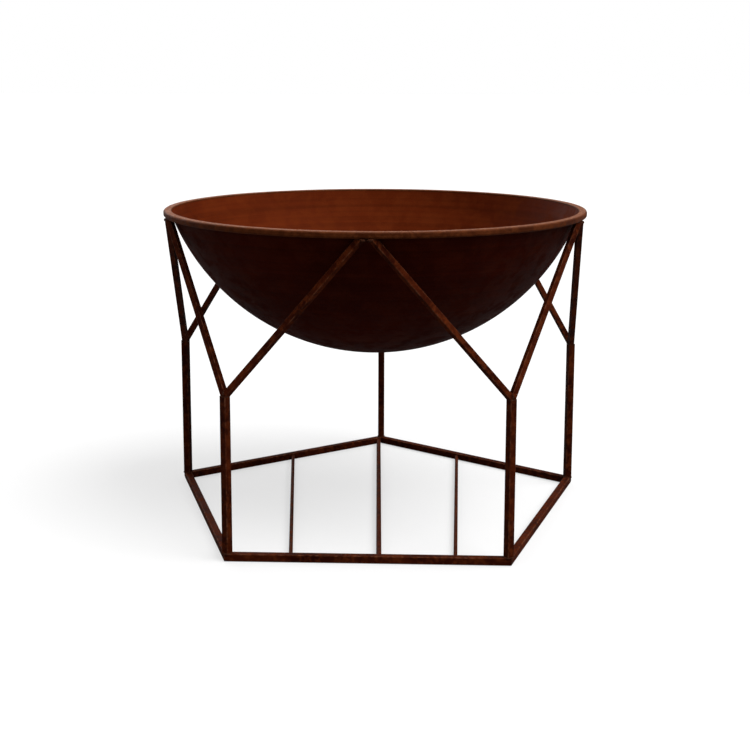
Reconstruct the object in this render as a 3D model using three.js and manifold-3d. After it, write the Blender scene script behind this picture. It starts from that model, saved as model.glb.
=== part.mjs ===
// A fire pit on a five-sided wire stand: a dished steel bowl with a rolled rim hangs in the stand by
// its rim, a lift-out grate lies low in the bowl, and three thin rods on the base carry spare logs.
// Millimetres, +Z up, the floor at z = 0. Everything is laid out round the bowl's upright axis.

import * as THREE from 'three';
import { mergeVertices } from 'three/addons/utils/BufferGeometryUtils.js';
import Module from 'manifold-3d';

const wasm = await Module();
wasm.setup();

// ---- Driving dimensions -------------------------------------------------------------------------

const GAP = 0.3;                 // clearance between pieces that touch
const MERGE_DISTANCE = 1e-4;     // corners closer than this are one corner

// The whole object
const HEIGHT = 510;              // floor to the top of the rim
const RIM_DIAMETER = 700;        // over the rolled rim

// Stand: square tube below, slimmer square bar above
const SIDES = 5;
const STAND_RADIUS = 362;        // bowl axis to the centre line of each leg
const TUBE = 12;                 // square tube of the base and the legs, across the flats
const TUBE_WALL = 1.5;
const TUBE_CORNER = 1.5;         // outside corner radius of the tube
const LEG_TOP = 256;             // where a leg ends and its two struts fan out
const STRUT = 9.5;               // square bar of the struts, across the flats
const STRUT_CORNER = 1.2;
const STRUT_TURN = 45;           // degrees: the struts carry one edge outwards
const STRUT_OVERSHOOT = 19;      // cut long by this much at each end, then trimmed
const APEX_RADIUS = 345.5;       // bowl axis to the point where two strut centre lines would meet
const APEX_HEIGHT = 509;         // height of that point, just inside the rim

// Rods across the base, each as wide as `size`, from the front bar at x = `front` towards x = `back`
const RODS = {
  left: { size: 6, front: -117, back: -165 },
  middle: { size: 8, front: 17, back: -1 },
  right: { size: 6, front: 133, back: 148 },
};
const ROD_HEIGHT = 6;            // centre line above the floor: the middle of the base bars
const ROD_OVERSHOOT = 0.4;       // cut long by this share at each end, then trimmed

// Bowl: a dish of one radius with a rolled rim round its edge
const BOWL_RADIUS = 360;         // outer radius of the dish
const BOWL_WALL = 2;
const BOWL_BOTTOM = 269.4;       // underside of the dish above the floor
const RIM_WIDTH = 12;            // rolled rim, measured from the axis outwards
const RIM_DEPTH = 10;            // rolled rim, from its top down
const EDGE_DROP = 1;             // the dish's edge ends this far below the rim's top

// Grate: a ring that the dish stops, two cross bars inside it and a row of bars on top
const GRATE_HEIGHT = 360;        // centre line of the ring above the floor
const GRATE_ROD = 8;             // diameter of the ring and the bars
const GRATE_BARS = 9;
const GRATE_PITCH = 46;          // bar to bar
const GRATE_CLEARANCE = 1;       // ring to dish
const CROSS_BAR_OFFSET = 105;    // cross bars, in front of and behind the axis
const CROSS_BAR_CLEARANCE = 0.9; // cross bar to ring, with room for the flats of the ring
const HANDLE_ROD = 6;
const HANDLE_SPAN = 90;          // foot to foot
const HANDLE_RISE = 34;          // above the ring's centre line
const HANDLE_BEND = 18;          // length of rod lost to each bend, up and across

// Roundness of the plain solids
const BOWL_FACETS = 60;
const DISH_STEPS = 14;
const ROD_FACETS = 12;
const CORNER_STEPS = 2;
const HANDLE_STEPS = 20;
const HANDLE_CORNER_STEPS = 4;

// ---- Worked out from them -----------------------------------------------------------------------

const UP = new THREE.Vector3(0, 0, 1);
const STEP_ANGLE = (2 * Math.PI) / SIDES;
const RIM_RADIUS = RIM_DIAMETER / 2;
const RIM_UNDERSIDE = HEIGHT - RIM_DEPTH;
const DISH_CENTRE = BOWL_BOTTOM + BOWL_RADIUS;
const GRATE_RING_RADIUS = Math.sqrt(
  (BOWL_RADIUS - BOWL_WALL - GRATE_CLEARANCE - GRATE_ROD / 2) ** 2 - (DISH_CENTRE - GRATE_HEIGHT) ** 2,
);

// Legs counted anticlockwise from the back, and the apex that follows each of them.
const LEG_NAMES = ['back', 'rear_left', 'front_left', 'front_right', 'rear_right'];
const SIDE_NAMES = ['back_left', 'left', 'front', 'right', 'back_right'];
const legAngle = (i) => Math.PI / 2 + i * STEP_ANGLE;
const apexAngle = (i) => legAngle(i) + STEP_ANGLE / 2;
const polar = (radius, angle, z) =>
  new THREE.Vector3(radius * Math.cos(angle), radius * Math.sin(angle), z);

// ---- Finishes -----------------------------------------------------------------------------------

const finish = (colour, roughness, metalness) =>
  new THREE.MeshStandardMaterial({ color: colour, roughness, metalness });
const standRust = finish(0x3a1c10, 0.75, 0.25);
const bowlRust = finish(0x57200f, 0.8, 0.2);
const rimRust = finish(0x6a3a28, 0.6, 0.3);
const grateRust = finish(0x2e1a12, 0.8, 0.3);

// ---- Helpers ------------------------------------------------------------------------------------

// Three.js geometry to a closed manifold solid.
function toSolid(geometry) {
  const bare = geometry.clone();
  bare.deleteAttribute('normal');
  bare.deleteAttribute('uv');
  const merged = mergeVertices(bare, MERGE_DISTANCE);
  return new wasm.Manifold(new wasm.Mesh({
    numProp: 3,
    vertProperties: new Float32Array(merged.attributes.position.array),
    triVerts: new Uint32Array(merged.index.array),
  }));
}

// And back again.
function toGeometry(solid) {
  const mesh = solid.getMesh();
  const geometry = new THREE.BufferGeometry();
  geometry.setAttribute('position', new THREE.BufferAttribute(new Float32Array(mesh.vertProperties), 3));
  geometry.setIndex(new THREE.BufferAttribute(new Uint32Array(mesh.triVerts), 1));
  geometry.computeVertexNormals();
  return geometry;
}

// Cuts away what lies beyond each plane, on the side its normal points to.
function trim(geometry, planes) {
  const reach = 2 * RIM_DIAMETER;
  let solid = toSolid(geometry);
  for (const { point, normal } of planes) {
    const block = new THREE.BoxGeometry(reach, reach, reach);
    block.translate(0, 0, reach / 2);
    block.applyQuaternion(new THREE.Quaternion().setFromUnitVectors(UP, normal.clone().normalize()));
    block.translate(point.x, point.y, point.z);
    solid = solid.subtract(toSolid(block));
  }
  return toGeometry(solid);
}

// A square outline with rounded corners, centred on the origin.
function roundedSquare(size, corner, Outline = THREE.Shape) {
  const half = size / 2;
  const flat = half - corner;
  const outline = new Outline();
  outline.moveTo(half, -flat);
  outline.lineTo(half, flat);
  outline.absarc(flat, flat, corner, 0, Math.PI / 2);
  outline.lineTo(-flat, half);
  outline.absarc(-flat, flat, corner, Math.PI / 2, Math.PI);
  outline.lineTo(-half, -flat);
  outline.absarc(-flat, -flat, corner, Math.PI, 1.5 * Math.PI);
  outline.lineTo(flat, -half);
  outline.absarc(flat, -flat, corner, 1.5 * Math.PI, 2 * Math.PI);
  return outline;
}

// Stands a length of section that was extruded along +Z between two points, its +Y side facing `face`.
function between(geometry, from, to, face) {
  const along = to.clone().sub(from).normalize();
  const outward = face.clone().addScaledVector(along, -face.dot(along)).normalize();
  const across = new THREE.Vector3().crossVectors(outward, along);
  geometry.applyMatrix4(new THREE.Matrix4().makeBasis(across, outward, along).setPosition(from));
  return geometry;
}

function extrude(section, length) {
  return new THREE.ExtrudeGeometry(section, {
    depth: length,
    bevelEnabled: false,
    curveSegments: CORNER_STEPS,
  });
}

function squareTube(from, to, face) {
  const section = roundedSquare(TUBE, TUBE_CORNER);
  section.holes.push(roundedSquare(TUBE - 2 * TUBE_WALL, TUBE_CORNER / 2, THREE.Path));
  return between(extrude(section, from.distanceTo(to)), from, to, face);
}

function squareBar(from, to, face) {
  return between(extrude(roundedSquare(STRUT, STRUT_CORNER), from.distanceTo(to)), from, to, face);
}

function roundBar(from, to, diameter) {
  const bar = new THREE.CylinderGeometry(diameter / 2, diameter / 2, from.distanceTo(to), ROD_FACETS);
  bar.rotateX(Math.PI / 2);
  bar.translate(0, 0, from.distanceTo(to) / 2);
  const face = Math.abs(to.x - from.x) > Math.abs(to.y - from.y) ? new THREE.Vector3(0, 1, 0) : UP;
  return between(bar, from, to, face);
}

// Turns a closed outline of [radius, height] points round the upright axis.
function turned(outline, facets) {
  const points = outline.map(([radius, height]) => new THREE.Vector2(radius, height));
  return new THREE.LatheGeometry(points, facets).rotateX(Math.PI / 2);
}

// A ring of oval section whose centre line has the given radius and height.
function turnedRing(radius, height, width, depth, facets) {
  const outline = [];
  for (let i = 0; i <= ROD_FACETS; i += 1) {
    const angle = (2 * Math.PI * i) / ROD_FACETS;
    const out = radius + (width / 2) * Math.cos(angle);
    outline.push([out, height + (depth / 2) * Math.sin(angle)]);
  }
  outline[ROD_FACETS] = outline[0];
  return turned(outline, facets);
}

const fireBowl = new THREE.Group();

function add(name, geometry, material) {
  const mesh = new THREE.Mesh(geometry, material);
  mesh.name = name;
  fireBowl.add(mesh);
}

// ---- Stand: base and legs -----------------------------------------------------------------------

// The base is a ring of five tubes, mitred where they meet under each leg.
for (let i = 0; i < SIDES; i += 1) {
  const from = polar(STAND_RADIUS, legAngle(i), TUBE / 2);
  const to = polar(STAND_RADIUS, legAngle(i + 1), TUBE / 2);
  const overshoot = to.clone().sub(from).setLength(TUBE);
  const tube = squareTube(from.clone().sub(overshoot), to.clone().add(overshoot), UP);
  const mitres = [
    { at: from, angle: legAngle(i) - Math.PI / 2 },
    { at: to, angle: legAngle(i + 1) + Math.PI / 2 },
  ].map(({ at, angle }) => {
    const normal = polar(1, angle, 0);
    return { point: at.clone().addScaledVector(normal, -GAP / 2), normal };
  });
  add(`base_bar_${SIDE_NAMES[i]}`, trim(tube, mitres), standRust);
}

// Each leg stands on a mitred corner with one flat facing straight out from the bowl's axis.
for (let i = 0; i < SIDES; i += 1) {
  const foot = polar(STAND_RADIUS, legAngle(i), TUBE + GAP);
  const head = polar(STAND_RADIUS, legAngle(i), LEG_TOP);
  add(`leg_${LEG_NAMES[i]}`, squareTube(foot, head, polar(1, legAngle(i), 0)), standRust);
}

// ---- Stand: struts ------------------------------------------------------------------------------

// Two struts rise from each leg, one to the apex on either side. A pair meets under the rim. A foot
// is cut level with the leg's head and against its twin, and a top level under the rim and against
// the strut that it meets there.
for (let i = 0; i < SIDES; i += 1) {
  const apex = polar(APEX_RADIUS, apexAngle(i), APEX_HEIGHT);
  for (const [hand, leg, turn] of [['near', i, 1], ['far', i + 1, -1]]) {
    const base = polar(STAND_RADIUS, legAngle(leg), LEG_TOP);
    const along = apex.clone().sub(base).normalize();
    const chord = polar(turn, apexAngle(i) + Math.PI / 2, 0);
    const outward = new THREE.Vector3().crossVectors(chord, along).multiplyScalar(turn);
    outward.applyAxisAngle(along, THREE.MathUtils.degToRad(STRUT_TURN));
    const bar = squareBar(
      base.clone().addScaledVector(along, -STRUT_OVERSHOOT),
      apex.clone().addScaledVector(along, STRUT_OVERSHOOT),
      outward,
    );
    const mitreNormal = polar(turn, legAngle(leg) - Math.PI / 2, 0);
    const planes = [
      { point: new THREE.Vector3(0, 0, LEG_TOP + GAP), normal: UP.clone().negate() },
      { point: new THREE.Vector3(0, 0, RIM_UNDERSIDE - GAP), normal: UP },
      { point: mitreNormal.clone().multiplyScalar(-GAP / 2), normal: mitreNormal },
      { point: chord.clone().multiplyScalar(-GAP / 2), normal: chord },
    ];
    add(`strut_${SIDE_NAMES[i]}_${hand}`, trim(bar, planes), standRust);
  }
}

// ---- Stand: log rods ----------------------------------------------------------------------------

// The rods butt against the inner faces of the front bar and of the two back bars.
const innerFace = (side) => {
  const normal = polar(1, apexAngle(side), 0);
  const distance = STAND_RADIUS * Math.cos(STEP_ANGLE / 2) - TUBE / 2 - GAP;
  return { point: normal.clone().multiplyScalar(distance), normal };
};
const [frontFace, ...backFaces] = ['front', 'back_left', 'back_right'].map(
  (name) => innerFace(SIDE_NAMES.indexOf(name)),
);
for (const [name, { size, front, back }] of Object.entries(RODS)) {
  const from = new THREE.Vector3(front, frontFace.point.y, ROD_HEIGHT);
  const to = new THREE.Vector3(back, STAND_RADIUS * Math.cos(STEP_ANGLE / 2) ** 2, ROD_HEIGHT);
  const overshoot = to.clone().sub(from).multiplyScalar(ROD_OVERSHOOT);
  const rod = roundBar(from.clone().sub(overshoot), to.clone().add(overshoot), size);
  add(`log_rod_${name}`, trim(rod, [frontFace, ...backFaces]), standRust);
}

// ---- Bowl ---------------------------------------------------------------------------------------

// Points of the dish from `from` to `to`, counted as angles up from its lowest point.
function dishArc(radius, from, to) {
  return Array.from({ length: DISH_STEPS + 1 }, (_, i) => {
    const angle = from + ((to - from) * i) / DISH_STEPS;
    return [radius * Math.sin(angle), DISH_CENTRE - radius * Math.cos(angle)];
  });
}

const edgeAngle = (radius) => Math.acos((DISH_CENTRE - (HEIGHT - EDGE_DROP)) / radius);
const innerDish = BOWL_RADIUS - BOWL_WALL;
const dish = [
  ...dishArc(BOWL_RADIUS, 0, edgeAngle(BOWL_RADIUS)),
  ...dishArc(innerDish, edgeAngle(innerDish), 0),
];
dish[0][0] = 0;
dish[dish.length - 1][0] = 0;
add('bowl_shell', turned(dish, BOWL_FACETS), bowlRust);

add(
  'rim_ring',
  turnedRing(RIM_RADIUS - RIM_WIDTH / 2, HEIGHT - RIM_DEPTH / 2, RIM_WIDTH, RIM_DEPTH, BOWL_FACETS),
  rimRust,
);

// ---- Grate --------------------------------------------------------------------------------------

add('grate_ring', turnedRing(GRATE_RING_RADIUS, GRATE_HEIGHT, GRATE_ROD, GRATE_ROD, BOWL_FACETS), grateRust);

// Cross bars lie inside the ring, at its own height.
for (const [name, y] of [['front', -CROSS_BAR_OFFSET], ['rear', CROSS_BAR_OFFSET]]) {
  const reach = Math.sqrt((GRATE_RING_RADIUS - GRATE_ROD / 2) ** 2 - (Math.abs(y) + GRATE_ROD / 2) ** 2);
  const end = new THREE.Vector3(reach - CROSS_BAR_CLEARANCE, y, GRATE_HEIGHT);
  add(`grate_cross_bar_${name}`, roundBar(end.clone().setX(-end.x), end, GRATE_ROD), grateRust);
}

// The bars lie on the ring and on the cross bars, and end flush with the ring.
for (let i = 0; i < GRATE_BARS; i += 1) {
  const x = (i - (GRATE_BARS - 1) / 2) * GRATE_PITCH;
  const end = new THREE.Vector3(x, Math.sqrt(GRATE_RING_RADIUS ** 2 - x ** 2), GRATE_HEIGHT + GRATE_ROD + GAP);
  add(`grate_bar_${i + 1}`, roundBar(end.clone().setY(-end.y), end, GRATE_ROD), grateRust);
}

// A handle is one bent rod that stands on the ring, clear of the outermost bar.
function handle(side) {
  const halfSpan = HANDLE_SPAN / 2;
  const x = side * Math.sqrt(GRATE_RING_RADIUS ** 2 - halfSpan ** 2);
  const foot = GRATE_HEIGHT + GRATE_ROD / 2 + GAP;
  const top = GRATE_HEIGHT + HANDLE_RISE - HANDLE_ROD / 2;
  const bend = HANDLE_BEND;
  const path = new THREE.CurvePath();
  const at = (y, z) => new THREE.Vector3(x, y, z);
  path.add(new THREE.LineCurve3(at(-halfSpan, foot), at(-halfSpan, top - bend)));
  path.add(new THREE.QuadraticBezierCurve3(
    at(-halfSpan, top - bend), at(-halfSpan, top), at(bend - halfSpan, top),
  ));
  path.add(new THREE.LineCurve3(at(bend - halfSpan, top), at(halfSpan - bend, top)));
  path.add(new THREE.QuadraticBezierCurve3(
    at(halfSpan - bend, top), at(halfSpan, top), at(halfSpan, top - bend),
  ));
  path.add(new THREE.LineCurve3(at(halfSpan, top - bend), at(halfSpan, foot)));
  const section = new THREE.Shape().absarc(0, 0, HANDLE_ROD / 2, 0, 2 * Math.PI);
  return new THREE.ExtrudeGeometry(section, {
    extrudePath: path,
    steps: HANDLE_STEPS,
    curveSegments: HANDLE_CORNER_STEPS,
  });
}
add('grate_handle_left', handle(-1), grateRust);
add('grate_handle_right', handle(1), grateRust);

// ---- Frame --------------------------------------------------------------------------------------

// The back leg stands further out than the rim, so the frame's origin, in the middle of the
// footprint, lies a little behind the bowl's axis.
fireBowl.updateMatrixWorld(true);
const footprint = new THREE.Box3().setFromObject(fireBowl, true).getCenter(new THREE.Vector3());
fireBowl.position.set(-footprint.x, -footprint.y, 0);

export default fireBowl;
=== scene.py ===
# %% [markdown]
# # A rust-brown fire pit, built piece by piece
#
# The object is a shallow steel dish with a rolled rim. It hangs by that rim in a stand cut and
# welded from thin bar: five tubes make the base, five upright tubes are the legs, and ten slimmer
# bars fan out from the legs to five points under the rim. Three thin rods across the base carry
# spare logs, and a loose grate lies low in the dish.
#
# Every shape below is a surface worked out with numpy: either a profile turned round an upright
# axis, or a section carried along a line. Every finish is a set of shader nodes. The frame that
# is loaded first gives the places and sizes, so the pieces need no fitting.

# %% Load the frame
import math

import bpy
import numpy as np
from mathutils import Matrix, Vector


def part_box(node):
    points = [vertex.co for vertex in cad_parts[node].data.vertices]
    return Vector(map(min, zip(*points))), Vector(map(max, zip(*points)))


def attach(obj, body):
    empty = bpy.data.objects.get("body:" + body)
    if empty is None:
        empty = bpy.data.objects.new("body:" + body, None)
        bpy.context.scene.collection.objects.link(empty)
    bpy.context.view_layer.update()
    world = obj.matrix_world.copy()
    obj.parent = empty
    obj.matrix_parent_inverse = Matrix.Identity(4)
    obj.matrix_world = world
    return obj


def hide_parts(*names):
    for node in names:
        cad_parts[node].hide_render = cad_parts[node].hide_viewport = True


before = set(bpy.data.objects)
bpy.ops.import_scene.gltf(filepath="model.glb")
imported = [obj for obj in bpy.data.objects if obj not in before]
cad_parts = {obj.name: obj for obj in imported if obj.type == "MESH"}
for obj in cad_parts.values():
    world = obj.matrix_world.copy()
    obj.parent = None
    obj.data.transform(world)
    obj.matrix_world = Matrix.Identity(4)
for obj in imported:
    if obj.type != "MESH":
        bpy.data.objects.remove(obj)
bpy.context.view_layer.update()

# %% [markdown]
# ## Measuring the frame
#
# A maker would take a rule to the jig before cutting anything. The dish hangs on an upright axis
# that is the middle of the rim, and everything else is laid out round that axis.

# %% The main measures
def box_of(node):
    """A node's lowest and highest corners as two numpy rows."""
    low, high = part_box(node)
    return np.array(low), np.array(high)


rim_low, rim_high = box_of("rim_ring")
dish_low, dish_high = box_of("bowl_shell")
leg_low, leg_high = box_of("leg_back")
_, bar_high = box_of("base_bar_front")

AXIS = (rim_low + rim_high) / 2 * (1, 1, 0)
RIM_RADIUS = (rim_high[0] - rim_low[0]) / 2
RIM_TOP, RIM_UNDERSIDE = rim_high[2], rim_low[2]
TUBE = leg_high[0] - leg_low[0]
STAND_RADIUS = (leg_low[1] + leg_high[1]) / 2 - AXIS[1]
BASE_HEIGHT = bar_high[2]
LEG_TOP = leg_high[2]
print(f"rim {2 * RIM_RADIUS:.3f} m across, top at {RIM_TOP:.3f} m; legs {STAND_RADIUS:.3f} m out")

# %% [markdown]
# The dish is part of a ball. A cap of a ball with half-width a and depth h belongs to a ball of
# radius (a*a + h*h) / 2h, which gives the curve from two measures. The bar sizes are the stock
# that the stand was cut from.

# %% Dish and stock sizes
dish_half = (dish_high[0] - dish_low[0]) / 2
dish_depth = dish_high[2] - dish_low[2]
DISH_RADIUS = (dish_half**2 + dish_depth**2) / (2 * dish_depth)
DISH_CENTRE = dish_low[2] + DISH_RADIUS
SHEET = 0.002
TUBE_CORNER = 0.0016
STRUT = 0.0095
STRUT_CORNER = 0.0013
SIDES = 5
print(f"the dish is part of a ball of radius {DISH_RADIUS:.3f} m, centred {DISH_CENTRE:.3f} m up")

# %% [markdown]
# ## From arrays to a mesh
#
# Nearly every piece is a grid of points: one way runs round a section, the other way runs along
# the piece. Neighbouring points make four-sided faces, and a closed end is a fan of triangles
# round one middle point. The winding of the faces decides which side is the outside, so the
# helper works out the enclosed volume and turns the faces over if it comes out negative.

# %% Grid helpers
def grid_faces(rows, columns, close_rows=False):
    """Four-sided faces of a grid whose columns run round a closed section.

    Face (i, j) joins point (i, j) to its neighbours at i + 1 and j + 1, counted round the section,
    and round the rows too when the piece closes on itself."""
    i = np.arange(rows if close_rows else rows - 1)[:, None]
    j = np.arange(columns)[None, :]
    a = i * columns + j
    b = i * columns + (j + 1) % columns
    c = ((i + 1) % rows) * columns + (j + 1) % columns
    d = ((i + 1) % rows) * columns + j
    return np.stack([a, b, c, d], axis=-1).reshape(-1, 4)


def cap_faces(first, columns, centre, flip):
    """A fan of triangles from one row of the grid to a middle point."""
    j = np.arange(columns)
    fan = np.stack([first + j, first + (j + 1) % columns, np.full(columns, centre)], axis=-1)
    return fan[:, ::-1] if flip else fan


def enclosed_volume(points, triangles):
    """A sixth of the sum of the triple products of each triangle's corners."""
    a, b, c = (points[triangles[:, k]] for k in range(3))
    return np.einsum("ij,ij->i", a, np.cross(b, c)).sum() / 6


# %% [markdown]
# A `Shape` gathers the grids that belong to one piece, such as all the beads of one weld, and
# writes them into one mesh. The optional value on each point is kept as an attribute, which the
# finishes read: it says how exposed that point is to rubbing, and on the rim's top also how
# strongly a painted highlight lightens it.

# %% Shape
class Shape:
    def __init__(self):
        self.points, self.faces, self.worn, self.count = [], [], [], 0

    def add(self, grid, close_rows=False, caps=None, worn=0.0):
        """Adds one grid of points, shaped rows x columns x 3. caps holds its two end points."""
        rows, columns = grid.shape[:2]
        points = grid.reshape(-1, 3)
        quads = grid_faces(rows, columns, close_rows)
        triangles = np.zeros((0, 3), int)
        if caps is not None:
            points = np.vstack([points, np.asarray(caps)])
            size = rows * columns
            triangles = np.vstack([
                cap_faces(0, columns, size, flip=True),
                cap_faces(size - columns, columns, size + 1, flip=False),
            ])
        halves = np.vstack([quads[:, [0, 1, 2]], quads[:, [0, 2, 3]], triangles])
        if enclosed_volume(points - points.mean(axis=0), halves) < 0:
            quads, triangles = quads[:, ::-1], triangles[:, ::-1]
        worn = np.broadcast_to(worn, (rows, columns)).reshape(-1)
        self.worn.append(np.concatenate([worn, np.zeros(len(points) - len(worn))]))
        self.faces += (quads + self.count).tolist() + (triangles + self.count).tolist()
        self.points.append(points)
        self.count += len(points)
        return self

    def make(self, name, sharp=40.0):
        """Writes the gathered grids into one smooth-shaded mesh object at the origin."""
        mesh = bpy.data.meshes.new(name)
        mesh.from_pydata(np.vstack(self.points).tolist(), [], self.faces)
        mesh.attributes.new("worn", "FLOAT", "POINT").data.foreach_set(
            "value", np.concatenate(self.worn).astype(np.float32)
        )
        mesh.shade_smooth()
        mesh.set_sharp_from_angle(angle=math.radians(sharp))
        mesh.update()
        piece = bpy.data.objects.new(name, mesh)
        bpy.context.scene.collection.objects.link(piece)
        return piece


# %% [markdown]
# ## Finishes
#
# The whole object has one kind of finish: mild steel that was left to rust, then brushed down and
# sealed. It isn't one colour. Broad clouds of darker and redder oxide lie over the sheet, finer
# blotches sit inside them, and a grain of small pits and specks shows close up. That is three
# sizes of the same idea, so it is one node group, placed in each material with its own values.
#
# The group reads Object coordinates. Every piece sits at the origin with its place in its mesh, so
# the pattern runs across from one piece to the next without a jump.

# %% Node helpers
def new_group(name, inputs, outputs):
    """A shader node group with named sockets. inputs and outputs are (name, kind, default)."""
    tree = bpy.data.node_groups.new(name, "ShaderNodeTree")
    for direction, sockets in (("INPUT", inputs), ("OUTPUT", outputs)):
        for title, kind, default in sockets:
            kind_name = f"NodeSocket{kind}"
            socket = tree.interface.new_socket(title, in_out=direction, socket_type=kind_name)
            if default is not None and direction == "INPUT":
                socket.default_value = default
    entry = tree.nodes.new("NodeGroupInput")
    leave = tree.nodes.new("NodeGroupOutput")
    return tree, entry, leave


def node(tree, kind, links=(), **settings):
    """Adds a node, sets its properties, then joins or fills its inputs from (input, value) pairs."""
    made = tree.nodes.new(kind)
    for key, value in settings.items():
        setattr(made, key, value)
    for where, value in links:
        if isinstance(value, bpy.types.NodeSocket):
            tree.links.new(value, made.inputs[where])
        else:
            made.inputs[where].default_value = value
    return made


def spread(tree, value, low, high, to_low=0.0, to_high=1.0):
    """Maps a range of values to another, smoothly, and clamps it."""
    made = node(
        tree, "ShaderNodeMapRange",
        [
            ("Value", value), ("From Min", low), ("From Max", high),
            ("To Min", to_low), ("To Max", to_high),
        ],
        interpolation_type="SMOOTHSTEP",
    )
    return made.outputs["Result"]


def math_node(tree, operation, first, second=0.0):
    """One sum: the named operation on two numbers or sockets."""
    return node(tree, "ShaderNodeMath", [(0, first), (1, second)], operation=operation).outputs[0]


def blend_colour(tree, factor, first, second):
    """Mixes two colours. A Mix node has sockets for every kind of data, so its colours are counted."""
    factor_in, first_in, second_in, colour_out = 0, 6, 7, 2
    made = node(
        tree, "ShaderNodeMix", [(factor_in, factor), (first_in, first), (second_in, second)],
        data_type="RGBA",
    )
    return made.outputs[colour_out]


# %% [markdown]
# ### Mottled rust
#
# Three noises of falling size are mixed: clouds, blotches and grain. Clouds shift the colour from
# the dark oxide to the middle one, blotches lift parts of it towards the light one, and the grain
# speckles both. The same grain drives the small pits, so a dark speck is also a low spot.

# %% The mottled rust group
def build_mottled_rust():
    inputs = [
        ("Dark", "Color", (0.02, 0.006, 0.003, 1)),
        ("Middle", "Color", (0.08, 0.02, 0.008, 1)),
        ("Light", "Color", (0.16, 0.05, 0.02, 1)),
        ("Cloud scale", "Float", 9.0),
        ("Blotch scale", "Float", 60.0),
        ("Grain scale", "Float", 700.0),
        ("Light share", "Float", 0.5),
        ("Grain depth", "Float", 0.35),
    ]
    outputs = [("Color", "Color", None), ("Height", "Float", None), ("Patch", "Float", None)]
    tree, entry, leave = new_group("mottled_rust", inputs, outputs)
    place = node(tree, "ShaderNodeTexCoord").outputs["Object"]

    def noise(scale, detail, rough, warp=0.0):
        made = node(
            tree, "ShaderNodeTexNoise",
            [
                ("Vector", place), ("Scale", scale), ("Detail", detail),
                ("Roughness", rough), ("Distortion", warp),
            ],
        )
        return made.outputs["Fac"]

    cloud_noise = noise(entry.outputs["Cloud scale"], detail=3.0, rough=0.55, warp=0.6)
    blotch_noise = noise(entry.outputs["Blotch scale"], detail=4.0, rough=0.6, warp=0.4)
    grain = noise(entry.outputs["Grain scale"], detail=3.0, rough=0.65)
    clouds = spread(tree, cloud_noise, 0.32, 0.68)
    blotches = spread(tree, blotch_noise, 0.42, 0.66)
    base = blend_colour(tree, clouds, entry.outputs["Dark"], entry.outputs["Middle"])
    lifted = math_node(tree, "MULTIPLY", blotches, entry.outputs["Light share"])
    mottled = blend_colour(tree, lifted, base, entry.outputs["Light"])
    specks = spread(tree, grain, 0.3, 0.7)
    between_specks = math_node(tree, "SUBTRACT", 1.0, specks)
    shade = math_node(tree, "MULTIPLY", between_specks, entry.outputs["Grain depth"])
    coloured = blend_colour(tree, shade, mottled, entry.outputs["Dark"])
    height = math_node(tree, "ADD", math_node(tree, "MULTIPLY", blotches, 0.35), specks)
    tree.links.new(coloured, leave.inputs["Color"])
    tree.links.new(height, leave.inputs["Height"])
    tree.links.new(blotches, leave.inputs["Patch"])
    return tree


mottled_rust = build_mottled_rust()
print("node group:", mottled_rust.name)

# %% [markdown]
# ### Rubbed edges and the rim's painted highlight
#
# Hands, logs and packing rub the rust thin wherever the steel stands proud: along the top of the
# rim, on the corners of the bars and on the crowns of the welds. On the top of the rim the same
# lightening is also a painted highlight on the faces that point up. Each mesh carries that exposure
# in an attribute, and this group breaks it up with noise, so that the lightening is patchy.

# %% The rubbed edge group
def build_rubbed_edge():
    inputs = [
        ("Color", "Color", (0.1, 0.03, 0.01, 1)),
        ("Rubbed", "Color", (0.3, 0.13, 0.08, 1)),
        ("Amount", "Float", 0.7),
        ("Breakup scale", "Float", 120.0),
        ("Least", "Float", 0.1),
    ]
    outputs = [("Color", "Color", None), ("Mask", "Float", None)]
    tree, entry, leave = new_group("rubbed_edge_and_highlight", inputs, outputs)
    exposure = node(tree, "ShaderNodeAttribute", attribute_name="worn").outputs["Fac"]
    place = node(tree, "ShaderNodeTexCoord").outputs["Object"]
    patchy = node(
        tree, "ShaderNodeTexNoise",
        [
            ("Vector", place), ("Scale", entry.outputs["Breakup scale"]),
            ("Detail", 4.0), ("Roughness", 0.6),
        ],
    ).outputs["Fac"]
    patches = spread(tree, patchy, 0.42, 0.66, to_low=entry.outputs["Least"])
    broken = math_node(tree, "MULTIPLY", exposure, patches)
    mask = math_node(tree, "MULTIPLY", broken, entry.outputs["Amount"])
    rubbed = blend_colour(tree, mask, entry.outputs["Color"], entry.outputs["Rubbed"])
    tree.links.new(rubbed, leave.inputs["Color"])
    tree.links.new(mask, leave.inputs["Mask"])
    return tree


rubbed_edge_and_highlight = build_rubbed_edge()
print("node group:", rubbed_edge_and_highlight.name)

# %% [markdown]
# ### Spun rings
#
# A dish like this is pressed or spun, and then brushed while it turns, which leaves faint rings
# round its axis. The group measures each point's distance from the axis and its height, and reads
# a noise that changes quickly along those two and hardly at all round the ring.

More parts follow.
